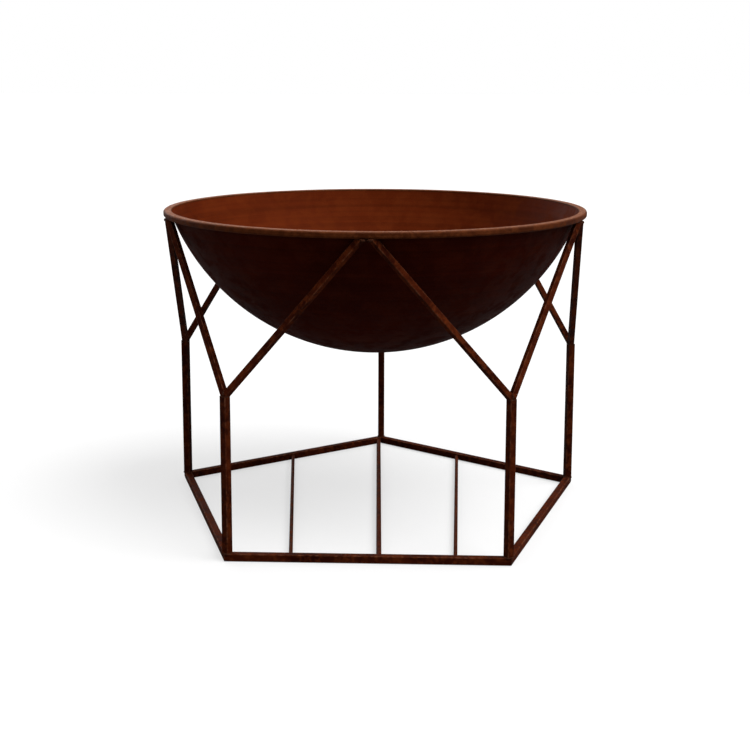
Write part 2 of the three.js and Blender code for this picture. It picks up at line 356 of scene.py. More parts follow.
# %% The spun rings group
def build_spun_rings():
    outputs = [("Mask", "Float", None)]
    tree, entry, leave = new_group("spun_rings", [("Ring scale", "Float", 90.0)], outputs)
    place = node(tree, "ShaderNodeTexCoord").outputs["Object"]
    centred = node(tree, "ShaderNodeVectorMath", [(0, place), (1, tuple(AXIS))], operation="SUBTRACT")
    apart = node(tree, "ShaderNodeSeparateXYZ", [(0, centred.outputs[0])])
    flat = node(tree, "ShaderNodeCombineXYZ", [(0, apart.outputs[0]), (1, apart.outputs[1])])
    reach = node(tree, "ShaderNodeVectorMath", [(0, flat.outputs[0])], operation="LENGTH").outputs["Value"]
    angle = math_node(tree, "ARCTAN2", apart.outputs[1], apart.outputs[0])
    round_the_axis = math_node(tree, "SINE", angle)
    ring_place = node(
        tree, "ShaderNodeCombineXYZ",
        [
            (0, math_node(tree, "MULTIPLY", reach, entry.outputs["Ring scale"])),
            (1, math_node(tree, "MULTIPLY", apart.outputs[2], entry.outputs["Ring scale"])),
            (2, math_node(tree, "MULTIPLY", round_the_axis, 0.8)),
        ],
    )
    lines = node(
        tree, "ShaderNodeTexNoise",
        [("Vector", ring_place.outputs[0]), ("Scale", 1.0), ("Detail", 5.0), ("Roughness", 0.7)],
    ).outputs["Fac"]
    tree.links.new(spread(tree, lines, 0.3, 0.7), leave.inputs["Mask"])
    return tree


spun_rings = build_spun_rings()
print("node group:", spun_rings.name)

# %% [markdown]
# ### Putting a finish together
#
# Each finish is a Principled shader of its own. The groups feed its colour, its roughness and the
# height of a Bump node. The values below are the only things that differ between the stand, the
# welds, the rim and the grate: how dark the oxide is, how strongly the grain speckles it, how deep
# the bumps are, how much is rubbed, and in how fine a pattern.

# %% Finish helper
# Rust reflects little, and reddens what it reflects.
WARM_SHEEN = (1.0, 0.42, 0.22, 1)


def group_node(tree, group, **values):
    """Places a group and sets its inputs by name, with an underscore for each space."""
    made = tree.nodes.new("ShaderNodeGroup")
    made.node_tree = group
    for title, value in values.items():
        made.inputs[title.replace("_", " ")].default_value = value
    return made


def new_finish(name, sheen, bump_height, bump_strength):
    """A material with a faint warm sheen and a Normal that comes from a Bump node."""
    material = bpy.data.materials.new(name)
    material.use_nodes = True
    tree = material.node_tree
    shader = tree.nodes["Principled BSDF"]
    shader.inputs["Specular IOR Level"].default_value = sheen
    shader.inputs["Specular Tint"].default_value = WARM_SHEEN
    bump = node(tree, "ShaderNodeBump", [("Distance", bump_height), ("Strength", bump_strength)])
    tree.links.new(bump.outputs["Normal"], shader.inputs["Normal"])
    return material, tree, shader, bump


def rust_finish(
    name, dark, middle, light, rubbed, amount,
    sheen=0.06, grain=0.35, least=0.1, breakup=120.0, bump_strength=0.5,
):
    """Mottled rust, lightened where the mesh's attribute says it is exposed: rubbed wear, and on the rim's
    top a painted highlight too. The lightened steel is a bit smoother.
    """
    material, tree, shader, bump = new_finish(
        name, sheen=sheen, bump_height=0.0004, bump_strength=bump_strength,
    )
    rust = group_node(
        tree, mottled_rust, Dark=dark, Middle=middle, Light=light,
        Cloud_scale=14.0, Blotch_scale=90.0, Grain_scale=900.0, Light_share=0.6, Grain_depth=grain,
    )
    edge = group_node(
        tree, rubbed_edge_and_highlight, Rubbed=rubbed, Amount=amount, Breakup_scale=breakup, Least=least,
    )
    tree.links.new(rust.outputs["Color"], edge.inputs["Color"])
    tree.links.new(edge.outputs["Color"], shader.inputs["Base Color"])
    patchy = spread(tree, rust.outputs["Patch"], 0.0, 1.0, to_low=0.54, to_high=0.74)
    smoothed = math_node(tree, "MULTIPLY", edge.outputs["Mask"], 0.14)
    rough = math_node(tree, "SUBTRACT", patchy, smoothed)
    tree.links.new(rough, shader.inputs["Roughness"])
    tree.links.new(rust.outputs["Height"], bump.inputs["Height"])
    return material


# %% The stand, rim and grate finishes
stand_rust = rust_finish(
    "stand_rust", dark=(0.022, 0.0026, 0.0010, 1), middle=(0.068, 0.0102, 0.0024, 1),
    light=(0.142, 0.0295, 0.0075, 1), rubbed=(0.205, 0.080, 0.043, 1), amount=0.6, sheen=0.03,
)
weld_rust = rust_finish(
    "weld_rust", dark=(0.020, 0.0055, 0.0030, 1), middle=(0.055, 0.016, 0.0070, 1),
    light=(0.11, 0.036, 0.018, 1), rubbed=(0.18, 0.085, 0.055, 1), amount=0.5,
)
# The rim's strong, widely spread rubbed colour is partly wear and partly a painted highlight on the top of
# the roll.
rim_rust = rust_finish(
    "rim_rust", dark=(0.050, 0.0105, 0.0030, 1), middle=(0.098, 0.0235, 0.0068, 1),
    light=(0.160, 0.043, 0.013, 1), rubbed=(0.285, 0.120, 0.068, 1), amount=0.95, least=0.5,
    grain=0.5, breakup=260.0, bump_strength=0.3,
)
grate_rust = rust_finish(
    "grate_rust", dark=(0.012, 0.0055, 0.0038, 1), middle=(0.034, 0.0120, 0.0060, 1),
    light=(0.105, 0.034, 0.0120, 1), rubbed=(0.13, 0.070, 0.045, 1), amount=0.4,
)
print("finishes:", stand_rust.name, weld_rust.name, rim_rust.name, grate_rust.name)

# %% [markdown]
# ### The dish's finish
#
# The inside of the dish is an even rust red, and the outside is a much darker maroon: a somewhat
# darker oxide with painted shade on top, since the outside faces the ground. One material does both.
# A mask tells the two sides apart from where a point lies: the sheet's inner skin is nearer to the
# centre of the ball than the middle of the sheet, and its outer skin is further away.

# %% The dish finish
def build_dish_rust():
    material, tree, shader, bump = new_finish(
        "dish_rust_and_painted_shade", sheen=0.03, bump_height=0.0003, bump_strength=0.45,
    )
    place = node(tree, "ShaderNodeTexCoord").outputs["Object"]
    ball_centre = (AXIS[0], AXIS[1], DISH_CENTRE)
    away = node(tree, "ShaderNodeVectorMath", [(0, place), (1, ball_centre)], operation="DISTANCE")
    middle_of_sheet = DISH_RADIUS - SHEET / 2
    outside = math_node(tree, "GREATER_THAN", away.outputs["Value"], middle_of_sheet)
    inner = group_node(
        tree, mottled_rust, Dark=(0.083, 0.0108, 0.0019, 1), Middle=(0.112, 0.0162, 0.0031, 1),
        Light=(0.152, 0.0285, 0.0064, 1), Cloud_scale=6.0, Blotch_scale=38.0, Grain_scale=620.0,
        Light_share=0.34, Grain_depth=0.22,
    )
    # The outer skin's darker colours are partly painted shade.
    outer = group_node(
        tree, mottled_rust, Dark=(0.030, 0.0024, 0.0006, 1), Middle=(0.043, 0.0040, 0.0009, 1),
        Light=(0.066, 0.0100, 0.0026, 1), Cloud_scale=6.0, Blotch_scale=30.0, Grain_scale=620.0,
        Light_share=0.35, Grain_depth=0.25,
    )
    colour = blend_colour(tree, outside, inner.outputs["Color"], outer.outputs["Color"])
    rings = group_node(tree, spun_rings, Ring_scale=110.0)
    ring_light = spread(tree, rings.outputs["Mask"], 0.0, 1.0, to_low=0.88, to_high=1.12)
    ringed = node(tree, "ShaderNodeVectorMath", [(0, colour), ("Scale", ring_light)], operation="SCALE")
    tree.links.new(ringed.outputs[0], shader.inputs["Base Color"])
    patchy = spread(tree, inner.outputs["Patch"], 0.0, 1.0, to_low=0.56, to_high=0.74)
    tree.links.new(patchy, shader.inputs["Roughness"])
    ring_height = math_node(tree, "MULTIPLY", rings.outputs["Mask"], 0.4)
    height = math_node(tree, "ADD", inner.outputs["Height"], ring_height)
    tree.links.new(height, bump.inputs["Height"])
    return material


dish_rust_and_painted_shade = build_dish_rust()
print("finish:", dish_rust_and_painted_shade.name)

# %% [markdown]
# ## The dish
#
# The real dish is one sheet of steel, about two millimetres thick, pressed into part of a ball. It
# could be a half sphere with a Solidify modifier, but then its edge couldn't be shaped to meet the
# rolled rim. Turning a profile round the axis keeps every point under control: the profile runs
# from the lowest point up the outside, over the edge and down the inside.
#
# Pressed sheet is never quite true. A few long, shallow waves, less than half a millimetre high,
# are added to the radius, and they make reflections wander as they do on real sheet.

# %% Turning a profile
AROUND = 288


def arc(centre, radius, start, stop, count):
    """Points on a circle in the profile's plane. The angles are in degrees from the outward level."""
    angle = np.radians(np.linspace(start, stop, count))
    return np.stack([centre[0] + radius * np.cos(angle), centre[1] + radius * np.sin(angle)], axis=-1)


def turn(profile, around=AROUND, waves=None):
    """Carries a profile of (distance from the axis, height) round the upright axis.

    The point at angle t is the axis, plus the distance times (cos t, sin t), at the profile's
    height. waves(t, profile) may add a small change to the distance and the height. The grid's
    rows follow the profile, and its columns go round."""
    t = np.linspace(0, 2 * np.pi, around, endpoint=False)
    reach = np.repeat(profile[:, :1], around, axis=1)
    height = np.repeat(profile[:, 1:2], around, axis=1)
    if waves is not None:
        change_out, change_up = waves(t[None, :], profile)
        reach, height = reach + change_out, height + change_up
    return np.stack([AXIS[0] + reach * np.cos(t), AXIS[1] + reach * np.sin(t), height], axis=-1)


DISH_WAVE = 0.00018
DRIFT = 20


def pressed_waves(t, profile):
    """Long shallow waves, the same on both skins: sines that come round three, five and nine times,
    each drifting with the height, and fading out towards the axis."""
    level = DRIFT * profile[:, 1:2]
    fade = np.clip(profile[:, :1] / RIM_RADIUS, 0, 1)
    three = np.sin(3 * t + level)
    five = 0.6 * np.sin(5 * t - 1.7 * level + 1.0)
    nine = 0.4 * np.sin(9 * t + 2.3 * level + 2.2)
    wave = three + five + nine
    return DISH_WAVE * wave * fade, np.zeros_like(wave)


# %% [markdown]
# The rim starts a little below the dish's edge. Up to there the dish keeps its round section; its
# cut edge is out of sight inside the roll.

# %% Make the dish
RIM_START = RIM_TOP - 0.0030
INNER_RADIUS = DISH_RADIUS - SHEET


def dish_angle(radius, height):
    """Angle up from the lowest point, in degrees, at which a ball's skin reaches a height."""
    return math.degrees(math.acos((DISH_CENTRE - height) / radius))


def dish_profile():
    """Outer skin from near the axis to the edge, then the inner skin back again."""
    centre = (0.0, DISH_CENTRE)
    near_axis = 0.4
    steps = 72
    outer = arc(centre, DISH_RADIUS, near_axis - 90, dish_angle(DISH_RADIUS, RIM_START) - 90, steps)
    inner = arc(centre, INNER_RADIUS, dish_angle(INNER_RADIUS, RIM_START) - 90, near_axis - 90, steps)
    return np.vstack([outer, inner])


def make_dish():
    bottom = [(*AXIS[:2], DISH_CENTRE - DISH_RADIUS), (*AXIS[:2], DISH_CENTRE - INNER_RADIUS)]
    grid = turn(dish_profile(), waves=pressed_waves)
    dish = Shape().add(grid, caps=bottom).make("dish", sharp=50)
    dish.data.materials.append(dish_rust_and_painted_shade)
    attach(dish, "bowl")
    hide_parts("bowl_shell")
    return dish


dish = make_dish()
print("dish:", len(dish.data.polygons), "faces")

# %% [markdown]
# ## The rolled rim
#
# A cut sheet edge is sharp and floppy, so the edge is turned outwards, rolled and flattened into a
# bead about ten millimetres thick. That is what carries the weight where the bowl hangs in the
# stand. Its section starts on the dish's inner skin, turns over a small inner corner on to a
# flat top, goes over a tight shoulder and down an upright outer face, and tucks in under itself
# against the dish's outer skin.
#
# The top of the roll is the most handled edge of the object, so it gets the most wear, and it
# carries a painted highlight as well. How far a point of the section faces up, and how far it lies
# inside the shoulder, say how much it is lightened.

# %% The rim's section
INNER_CORNER = 0.0024
SHOULDER = 0.0034
UNDER_CORNER = 0.0034
TUCK = 0.0012
FACE_LEAN = 5
# How far in from the rim's outside the wear and the painted highlight reach their full strength.
WEAR_AND_HIGHLIGHT_TO = 0.0036
OVERLAP = 0.0002


def skin_distance(radius, height):
    """Distance from the axis of a ball's skin at a height."""
    return math.sqrt(radius**2 - (DISH_CENTRE - height) ** 2)


def rim_profile():
    """A closed outline: inner skin, inner corner, top, shoulder, face, underside, tuck, sheet."""
    lean = 90 - dish_angle(INNER_RADIUS, RIM_START)
    foot = skin_distance(INNER_RADIUS, RIM_START)
    inner_centre = (foot + INNER_CORNER * math.cos(math.radians(lean)), RIM_TOP - INNER_CORNER)
    shoulder_centre = (RIM_RADIUS - SHOULDER, RIM_TOP - SHOULDER)
    under_centre = (RIM_RADIUS - UNDER_CORNER, RIM_UNDERSIDE + UNDER_CORNER)
    tuck_centre = (skin_distance(DISH_RADIUS, RIM_UNDERSIDE + TUCK) + TUCK, RIM_UNDERSIDE + TUCK)
    inner = arc(inner_centre, INNER_CORNER, 180 - lean, 90, count=9)
    shoulder = arc(shoulder_centre, SHOULDER, 90, FACE_LEAN, count=10)
    under = arc(under_centre, UNDER_CORNER, -FACE_LEAN, -90, count=12)
    tuck = arc(tuck_centre, TUCK, -90, -180, count=7)
    sheet_start = dish_angle(DISH_RADIUS, RIM_UNDERSIDE + 2 * TUCK) - 90
    sheet_end = dish_angle(DISH_RADIUS, RIM_START) - 90
    sheet = arc((0.0, DISH_CENTRE), DISH_RADIUS - OVERLAP, sheet_start, sheet_end, count=4)
    top = np.linspace(inner[-1], shoulder[0], 8)[1:-1]
    face = np.linspace(shoulder[-1], under[0], 5)[1:-1]
    underside = np.linspace(under[-1], tuck[0], 4)[1:-1]
    return np.vstack([[(foot, RIM_START)], inner, top, shoulder, face, under, underside, tuck, sheet])


def upward_highlight_share(profile):
    """How far each point of a closed outline faces up: the outward part of its direction."""
    ahead, behind = np.roll(profile, -1, axis=0), np.roll(profile, 1, axis=0)
    direction = ahead - behind
    return np.clip(direction[:, 0] / np.linalg.norm(direction, axis=1), 0, 1)


OUTWARD_WAVE = 0.00012
UPWARD_WAVE = 0.00008
INSET = 0.0002


def rim_waves(t, profile):
    """The roll was made by hand: its outside and its top waver by a quarter of a millimetre.

    Each waver is a sum of sines less a small inset. It grows from nothing at the dish to its whole
    size near the outer face, and the upward one also grows from the underside to the top."""
    still = 0.9655 * RIM_RADIUS
    share = np.clip((profile[:, :1] - still) / (0.03 * RIM_RADIUS), 0, 1)
    rise = np.clip((profile[:, 1:2] - RIM_UNDERSIDE) / (RIM_TOP - RIM_UNDERSIDE), 0, 1)
    out = np.sin(7 * t + 0.4) + 0.7 * np.sin(13 * t + 1.9) + 0.5 * np.sin(29 * t)
    up = np.sin(5 * t + 2.0) + 0.8 * np.sin(11 * t)
    return (OUTWARD_WAVE * out - INSET) * share, (UPWARD_WAVE * up - INSET) * share * rise


# %% Make the rim
def make_rim():
    profile = rim_profile()
    grid = np.swapaxes(turn(profile, waves=rim_waves), 0, 1)
    # Lightening on the faces that point up: part wear, part painted highlight.
    inwards = np.clip((RIM_RADIUS - profile[:, 0]) / WEAR_AND_HIGHLIGHT_TO, 0, 1)
    worn = np.broadcast_to(upward_highlight_share(profile) ** 2 * inwards, grid.shape[:2])
    rim = Shape().add(grid, close_rows=True, worn=worn).make("rolled_rim", sharp=60)
    rim.data.materials.append(rim_rust)
    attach(rim, "bowl")
    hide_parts("rim_ring")
    return rim


rim = make_rim()
print("rolled rim:", len(rim.data.polygons), "faces")

# %% [markdown]
# ## Bars and tubes
#
# All of the stand is straight stock, cut to length and welded. A bar is its section carried along
# a straight line. Its ends are cut by planes: one for a mitre, two where a strut's foot sits
# on a leg and leans against its twin. Each line of the bar runs from the last of its start
# planes to the first of its end planes, so a cut needs no Boolean.
#
# The section is a square with rounded corners. An extra pair of points just beside each corner
# holds the flats flat, so the smooth shading only bends at the corners.

# %% Sections
def rounded_square(size, corner, arc_steps=6, hold=0.0004):
    """A square outline as points x + iy: a quarter circle at each corner, with a holding point on
    the flat before and after it, turned through the four quarters. Also how exposed each is."""
    flat = size / 2 - corner
    quarter = np.exp(1j * np.linspace(0, np.pi / 2, arc_steps))
    corner_points = flat * (1 + 1j) + corner * quarter
    one = np.concatenate([[corner_points[0] - 1j * hold], corner_points, [corner_points[-1] - hold]])
    outline = (one[None, :] * (1j ** np.arange(4))[:, None]).reshape(-1)
    bare = np.concatenate([[0.0], np.sin(np.linspace(0.15, np.pi - 0.15, arc_steps)), [0.0]])
    return outline, np.tile(bare, 4)


def round_section(diameter, count=20):
    """A circle as points x + iy."""
    outline = diameter / 2 * np.exp(2j * np.pi * np.arange(count) / count)
    return outline, np.full(count, 0.25)


# %% [markdown]
# A plane is a point on it and a direction pointing to the side that is cut away.

# %% Carrying a section along a line
def unit(vector):
    return vector / np.linalg.norm(vector)


def bar_frame(start, end, outward):
    """Three directions: along the bar, the side that faces outward, and the one across."""
    along = unit(end - start)
    facing = unit(outward - along * (outward @ along))
    return along, facing, np.cross(facing, along)


def cut_lengths(origins, along, planes, pick):
    """How far along each line it meets each plane; pick chooses among the planes."""
    reach = [((point - origins) @ normal) / (along @ normal) for point, normal in planes]
    return pick(np.stack(reach), axis=0)


def carry(section, start, end, outward, start_planes, end_planes, rows=6):
    """The grid of a straight bar and its two cap points.

    A line of the bar begins at start plus the section's point, and its points are spaced evenly
    from its start cut to its end cut."""
    outline, _ = section
    along, facing, across = bar_frame(start, end, outward)
    origins = start + outline.real[:, None] * across + outline.imag[:, None] * facing
    begin = cut_lengths(origins, along, start_planes, np.max)
    finish = cut_lengths(origins, along, end_planes, np.min)
    step = np.linspace(0, 1, rows)[:, None]
    length = begin * (1 - step) + finish * step
    grid = origins[None, :, :] + length[:, :, None] * along
    caps = [
        start + cut_lengths(start[None, :], along, start_planes, np.max)[0] * along,
        start + cut_lengths(start[None, :], along, end_planes, np.min)[0] * along,
    ]
    return grid, caps


def square_to(start, end):
    """Start and end planes that cut a bar off square."""
    along = unit(end - start)
    return [(start, -along)], [(end, along)]


# %% [markdown]
# ## Where the stand's corners are
#
# The legs stand on a five-sided ring, counted anticlockwise from the back. Between every two legs
# there is an apex under the rim.

# %% The stand's plan
LEG_NAMES = ["back", "rear_left", "front_left", "front_right", "rear_right"]
SIDE_NAMES = ["back_left", "left", "front", "right", "back_right"]
STEP = 2 * math.pi / SIDES
RIGHTWARD = np.array([1.0, 0.0, 0.0])
BACKWARD = np.array([0.0, 1.0, 0.0])
UP = np.array([0.0, 0.0, 1.0])
APEX_RADIUS = 0.3455
APEX_HEIGHT = 0.509
# Half of the gap between two cut faces that meet.
SEAM = 0.00015


def leg_angle(i):
    return math.pi / 2 + i * STEP


def apex_angle(i):
    return leg_angle(i) + STEP / 2


def polar(radius, angle, height=0.0):
    """A point given by its distance from the axis, its angle and its height."""
    return AXIS + np.array([radius * math.cos(angle), radius * math.sin(angle), height])


def heading(angle):
    """A level direction."""
    return np.array([math.cos(angle), math.sin(angle), 0.0])


def place_bar(name, node_name, section, grid, caps, finish, body="stand"):
    """Makes one bar's mesh, hides the frame node it stands for, and hangs it on what it moves with."""
    worn = np.broadcast_to(section[1], grid.shape[:2])
    piece = Shape().add(grid, caps=caps, worn=worn).make(name)
    piece.data.materials.append(finish)
    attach(piece, body)
    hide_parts(node_name)
    return piece


print("legs at", [round(math.degrees(leg_angle(i))) % 360 for i in range(SIDES)], "degrees")

# %% [markdown]
# ## The base ring
#
# Five lengths of twelve millimetre tube lie on the ground, mitred where they meet. The mitre is
# the upright plane through the axis and the corner, so the cut faces of two bars match.

# %% Make the base
tube_section = rounded_square(TUBE, TUBE_CORNER)


def make_base_bar(i):
    start = polar(STAND_RADIUS, leg_angle(i), BASE_HEIGHT / 2)
    end = polar(STAND_RADIUS, leg_angle(i + 1), BASE_HEIGHT / 2)
    first_normal = heading(leg_angle(i) - math.pi / 2)
    last_normal = heading(leg_angle(i + 1) + math.pi / 2)
    grid, caps = carry(
        tube_section, start, end, UP,
        [(start - SEAM * first_normal, first_normal)], [(end - SEAM * last_normal, last_normal)],
    )
    side = SIDE_NAMES[i]
    return place_bar(f"base_tube_{side}", f"base_bar_{side}", tube_section, grid, caps, stand_rust)


base_tubes = [make_base_bar(i) for i in range(SIDES)]
print("base tubes:", [tube.name for tube in base_tubes])

# %% [markdown]
# ## The legs
#
# The legs are the same tube, standing on the mitred corners. They are turned so that one flat
# looks straight out from the middle, and the two front legs show an edge to anyone in front.

# %% Make the legs
def make_leg(i):
    foot = polar(STAND_RADIUS, leg_angle(i), BASE_HEIGHT)
    head = polar(STAND_RADIUS, leg_angle(i), LEG_TOP)
    grid, caps = carry(tube_section, foot, head, heading(leg_angle(i)), *square_to(foot, head))
    name = LEG_NAMES[i]
    return place_bar(f"leg_tube_{name}", f"leg_{name}", tube_section, grid, caps, stand_rust)


legs = [make_leg(i) for i in range(SIDES)]
print("legs:", len(legs), "each", round(LEG_TOP - BASE_HEIGHT, 4), "m long")

# %% [markdown]
# ## The struts
#
# Two struts rise from the head of every leg, one to the apex on each side. They are slimmer square
# bar, turned so that an edge points outwards, which is why one of them can look half lit and half
# dark. At the foot a strut is cut twice, level with the leg's head and against its twin. At the top
# it is cut level under the rim and against the strut that meets it there.

# %% Make the struts
strut_section = rounded_square(STRUT, STRUT_CORNER)
ON_EDGE = math.radians(45)


def strut_cuts(apex, leg, way):
    """The foot's planes and the top's planes of a strut. way is 1 for a strut that rises
    anticlockwise from its leg and -1 for its mirror image."""
    foot_mitre = way * heading(leg_angle(leg) - math.pi / 2)
    top_mitre = way * heading(apex_angle(apex) + math.pi / 2)
    foot = [(AXIS + UP * LEG_TOP, -UP), (AXIS - SEAM * foot_mitre, foot_mitre)]
    top = [(AXIS + UP * (RIM_UNDERSIDE - SEAM), UP), (AXIS - SEAM * top_mitre, top_mitre)]
    return foot, top


def strut_line(apex, leg, way):
    """Start, end and the direction that one edge of the strut points in."""
    start = polar(STAND_RADIUS, leg_angle(leg), LEG_TOP)
    end = polar(APEX_RADIUS, apex_angle(apex), APEX_HEIGHT)
    along = unit(end - start)
    chord = way * heading(apex_angle(apex) + math.pi / 2)
    face = unit(np.cross(chord, along) * way)
    sideways = np.cross(along, face)
    return start, end, face * math.cos(ON_EDGE) + sideways * math.sin(ON_EDGE)


def strut_grid(apex, leg, way):
    start, end, outward = strut_line(apex, leg, way)
    foot, top = strut_cuts(apex, leg, way)
    return carry(strut_section, start, end, outward, foot, top)


def make_strut(apex, hand, leg, way):
    grid, caps = strut_grid(apex, leg, way)
    which = f"{SIDE_NAMES[apex]}_{hand}"
    return place_bar(f"strut_bar_{which}", f"strut_{which}", strut_section, grid, caps, stand_rust)


STRUTS = [
    (i, hand, leg, way)
    for i in range(SIDES) for hand, leg, way in (("near", i, 1), ("far", i + 1, -1))
]
struts = [make_strut(*which) for which in STRUTS]
print("struts:", len(struts))

# %% [markdown]
# ## The log rods
#
# Three thin rods keep the logs off the ground. They were set by eye, so they are neither quite
# parallel nor evenly spaced. Each frame node's box gives its rod's size and which way it leans:
# the two ends lie at opposite corners of the box.

# %% Make the log rods
def inner_face(side):
    """The plane of a base bar's inner face, seen as a cut that stops a rod."""
    normal = heading(apex_angle(side))
    distance = STAND_RADIUS * math.cos(STEP / 2) - TUBE / 2
    return AXIS + normal * distance, normal


def make_log_rod(name, lean):
    """Makes a rod, and returns its two end points and its radius for the welds. lean is 1 for a rod
    whose back end lies further to +X than its front end, else -1."""
    low, high = box_of(f"log_rod_{name}")
    diameter = high[2] - low[2]
    half = diameter / 2
    middle = (low + high) / 2
    run = np.array([lean * ((high[0] - low[0]) / 2 - half), (high[1] - low[1]) / 2, 0])
    section = round_section(diameter)
    front = [inner_face(SIDE_NAMES.index("front"))]
    back = [inner_face(SIDE_NAMES.index(side)) for side in ("back_left", "back_right")]
    grid, caps = carry(section, middle - run, middle + run, UP, front, back, rows=12)
    place_bar(f"log_rod_bar_{name}", f"log_rod_{name}", section, grid, caps, stand_rust)
    return caps, half


log_rods = [make_log_rod(name, lean) for name, lean in (("left", -1), ("middle", -1), ("right", 1))]
print("log rods:", [f"{2 * half * 1000:.0f} mm" for _, half in log_rods])

# %% [markdown]
# ## Welds
#
# Nothing here is bolted, so the welds are part of the look. A weld is a bead laid along a seam, a
# little lumpy because the torch moves in small steps. It is a round section carried along the
# seam, and its radius swells and shrinks once every couple of millimetres. On an open seam the
# radius falls to nothing at both ends.

# %% A weld bead
def along_path(corners, spacing, closed):
    """Evenly spaced points on the straight lines through some corners."""
    path = np.asarray(corners, float)
    if closed:
        path = np.vstack([path, path[:1]])
    leg_length = np.linalg.norm(np.diff(path, axis=0), axis=1)
    travelled = np.concatenate([[0], np.cumsum(leg_length)])
    count = max(int(travelled[-1] / spacing), 6)
    stations = np.linspace(0, travelled[-1], count, endpoint=not closed)
    points = np.stack([np.interp(stations, travelled, path[:, k]) for k in range(3)], axis=-1)
    return points, stations, travelled[-1]


def path_directions(points, closed=False):
    """The direction at each point of a path: from the point before it to the point after it."""
    if closed:
        ahead = np.roll(points, -1, axis=0) - np.roll(points, 1, axis=0)
    else:
        ahead = np.gradient(points, axis=0)
    return ahead / np.linalg.norm(ahead, axis=1, keepdims=True)


def circles(points, radii, first, second, around):
    """A circle round each point of a path: its radius times (cos t along the first direction plus
    sin t along the second)."""
    t = 2 * np.pi * np.arange(around)[:, None] / around
    ring = np.cos(t) * first[:, None, :] + np.sin(t) * second[:, None, :]
    return points[:, None, :] + radii[:, None, None] * ring


def bead(corners, radius, reference, closed=False, ripple=0.0022, seed=0.0, around=10):
    """A bead along a seam: at each station, a circle square to the path.

    The circle's first direction is the path's direction crossed with a reference, and its second
    is square to both. Its radius is the bead's radius times a ripple, and on an open seam times
    the root of one minus the fourth power of the distance from the middle."""
    points, stations, total = along_path(corners, ripple / 5, closed)
    tangent = path_directions(points, closed)
    first = np.cross(tangent, reference)
    first /= np.linalg.norm(first, axis=1, keepdims=True)
    second = np.cross(tangent, first)
    beats = max(round(total / ripple), 1)
    phase = 2 * np.pi * beats * stations / total
    size = radius * (1 + 0.10 * np.cos(phase) + 0.06 * np.sin(0.37 * phase + seed))
    if not closed:
        size *= np.sqrt(np.clip(1 - np.abs(2 * stations / total - 1) ** 4, 0.0004, 1))
    grid = circles(points, size, first, second, around)
    caps = None if closed else [points[0], points[-1]]
    return grid, caps, closed


def add_bead(shape, corners, radius, reference, **settings):
    grid, caps, closed = bead(corners, radius, reference, **settings)
    shape.add(grid, close_rows=closed, caps=caps, worn=0.35)


def circle_seam(centre, radius, first, second, count=16):
    """Corners of a round seam."""
    t = 2 * np.pi * np.arange(count)[:, None] / count
    return centre + radius * (np.cos(t) * first + np.sin(t) * second)


def place_welds(name, shape, body="stand", finish=weld_rust):
    """Joins the beads into one piece that moves with a body. No frame node stands for it."""
    piece = shape.make(name, sharp=80)
    piece.data.materials.append(finish)
    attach(piece, body)
    return piece


# %% [markdown]
# Every leg is welded all round its foot, and every mitre of the base is closed with an upright bead
# on its outer side and on its inner side. The outer one is thin and dressed nearly flush.

# %% Welds at the base
def section_loop(centre, facing, size, corner):
    """A level square with rounded corners and one side facing outwards."""
    outline, _ = rounded_square(size, corner, hold=0.001)
    across = np.cross(facing, UP)
    return centre + outline.real[:, None] * across + outline.imag[:, None] * facing


FOOT_BEAD = 0.0012
OUTER_BEAD = 0.0009
INNER_BEAD = 0.0012
# How deep the middle of a bead lies in the steel.
FOOT_SUNK = 0.0002
OUTER_SUNK = 0.0004
INNER_SUNK = 0.0006
# Where an upright bead ends: so far above the floor, and so far below the base's top.
OUTER_ENDS = (0.0015, 0.0012)
INNER_ENDS = (0.0020, 0.0010)


def upright_seam(top, ends):
    """The two ends of a seam that runs down the base from a point at its top."""
    above_floor, below_top = ends
    return [top - UP * (BASE_HEIGHT - above_floor), top - UP * below_top]


def base_welds():
    """A bead round every leg's foot, and one up each side of every mitre."""
    shape = Shape()
    reach = TUBE / 2 / math.cos(STEP / 2)
    for i in range(SIDES):
        facing = heading(leg_angle(i))
        corner = polar(STAND_RADIUS, leg_angle(i), BASE_HEIGHT)
        loop = section_loop(corner, facing, TUBE - 2 * FOOT_SUNK, TUBE_CORNER)
        add_bead(shape, loop, FOOT_BEAD, UP, closed=True, seed=i)
        outer_seam = upright_seam(corner + facing * (reach - OUTER_SUNK), OUTER_ENDS)
        add_bead(shape, outer_seam, OUTER_BEAD, facing, seed=2 * i)
        inner_seam = upright_seam(corner - facing * (reach - INNER_SUNK), INNER_ENDS)
        add_bead(shape, inner_seam, INNER_BEAD, facing, seed=3 * i)
    return place_welds("welds_base", shape)


base_weld_piece = base_welds()
print("base welds:", len(base_weld_piece.data.polygons), "faces")

# %% [markdown]
# At the head of a leg there are two seams: one round the leg where the struts' feet stand on it,
# and one over the crotch where the two struts lean together. The second follows the cut ends of
# the bars, which the bar's own formula already gives: they are the lines whose start cut is the
# mitre and not the leg's head. Between two struts that stand on edge there is a small V-shaped
# hollow, so a welder fills it with a short, fat bead, on the outside and on the inside.

# %% Welds at the forks
HEAD_BEAD = 0.0010
HEAD_SUNK = 0.0006
HEAD_DROP = 0.0002
CROTCH_BEAD = 0.0013
FILL_BEAD = 0.0024
# Where a fill starts and ends: out from the middle of the leg's head, and up from it.
FILL_LINE = ((0.0034, -0.0004), (0.0008, 0.0080))


